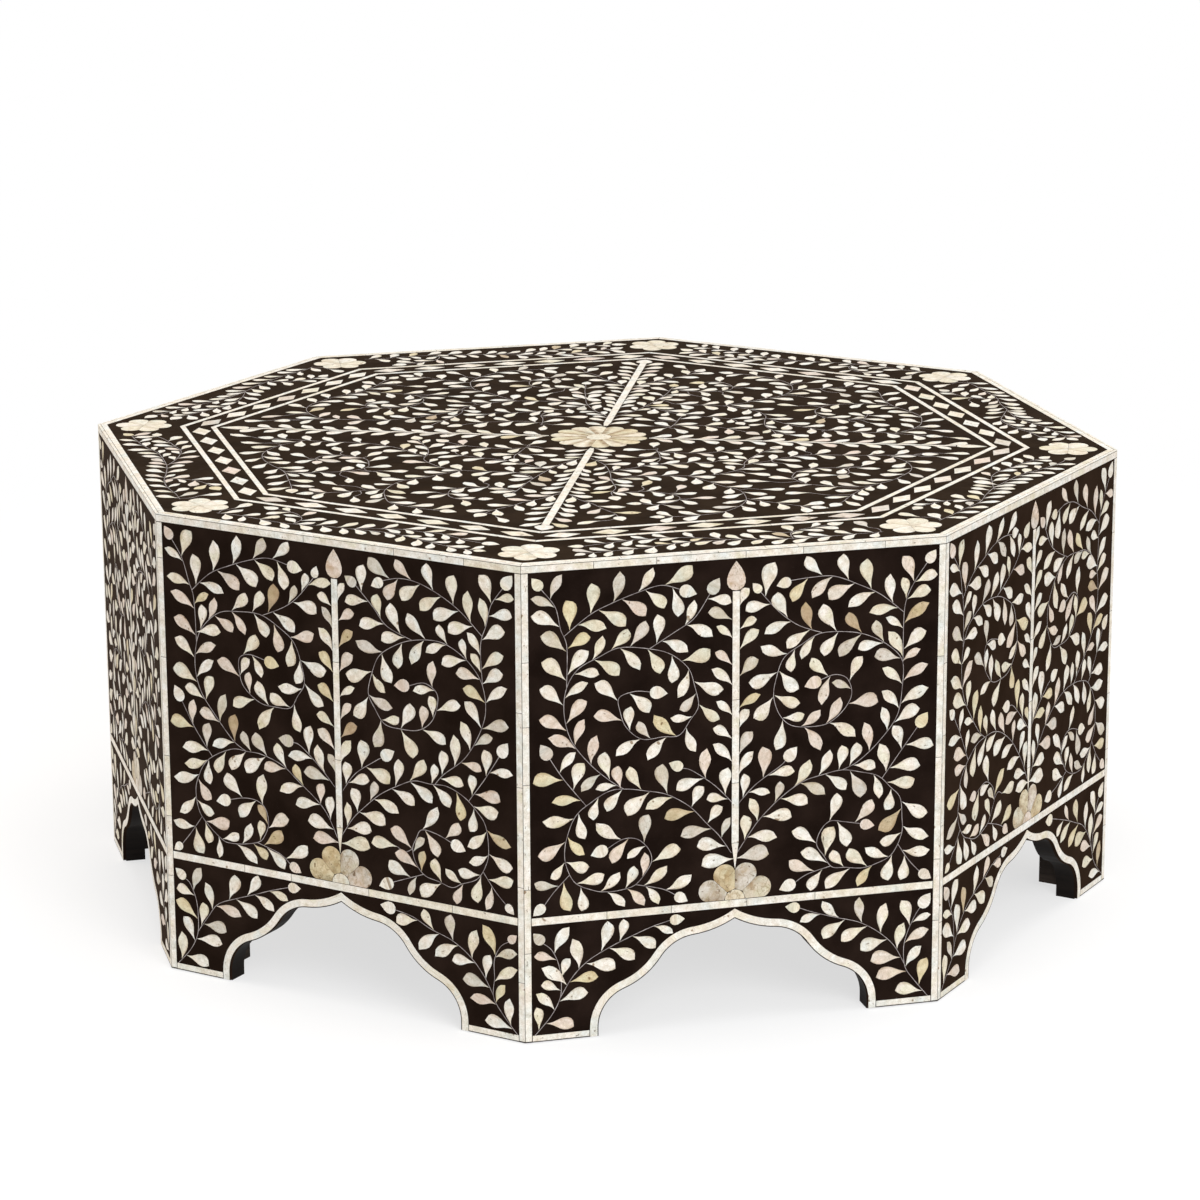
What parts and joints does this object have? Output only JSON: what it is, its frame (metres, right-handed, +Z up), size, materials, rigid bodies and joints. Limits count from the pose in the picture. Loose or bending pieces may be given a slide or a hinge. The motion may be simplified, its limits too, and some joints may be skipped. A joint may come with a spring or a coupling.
{
  "type": "octagonal inlaid coffee table",
  "caption": "Low octagonal coffee table on bracket feet between cusped arches, its top and sides covered with bone inlay set in black resin.",
  "frame": {"origin": "on the floor, under the middle of the top", "axes": "+Z up; one flat side faces -Y, and +X is to its right as seen from in front"},
  "size_m": [0.915, 0.915, 0.43],
  "materials": {
    "stained_board": "black-stained satin board",
    "stained_batten": "black-stained sawn wood",
    "resin": "polished near-black resin",
    "bone": "polished ivory bone"
  },
  "bodies": {
    "root": {"side_board_1": "stained_board", "side_frame_1": "bone", "side_flower_1": "bone", "side_resin_1": "resin", "corner_post_1": "stained_batten", "side_board_2": "stained_board", "side_frame_2": "bone", "side_flower_2": "bone", "side_resin_2": "resin", "corner_post_2": "stained_batten", "side_board_3": "stained_board", "side_frame_3": "bone", "side_flower_3": "bone", "side_resin_3": "resin", "corner_post_3": "stained_batten", "side_board_4": "stained_board", "side_frame_4": "bone", "side_flower_4": "bone", "side_resin_4": "resin", "corner_post_4": "stained_batten", "side_board_5": "stained_board", "side_frame_5": "bone", "side_flower_5": "bone", "side_resin_5": "resin", "corner_post_5": "stained_batten", "side_board_6": "stained_board", "side_frame_6": "bone", "side_flower_6": "bone", "side_resin_6": "resin", "corner_post_6": "stained_batten", "side_board_7": "stained_board", "side_frame_7": "bone", "side_flower_7": "bone", "side_resin_7": "resin", "corner_post_7": "stained_batten", "side_board_8": "stained_board", "side_frame_8": "bone", "side_flower_8": "bone", "side_resin_8": "resin", "corner_post_8": "stained_batten", "top_board": "stained_board", "top_resin": "resin", "top_cleats": "stained_batten", "under_rail_1": "stained_batten", "under_rail_2": "stained_batten", "top_rim": "bone", "border_outer": "bone", "border_inner": "bone", "border_diamonds": "bone", "corner_rosettes": "bone", "centre_rosette": "bone", "spoke_bars": "bone", "spoke_bar_buds": "bone", "spoke_stems": "bone", "spoke_stem_buds": "bone"}
  },
  "joints": []
}
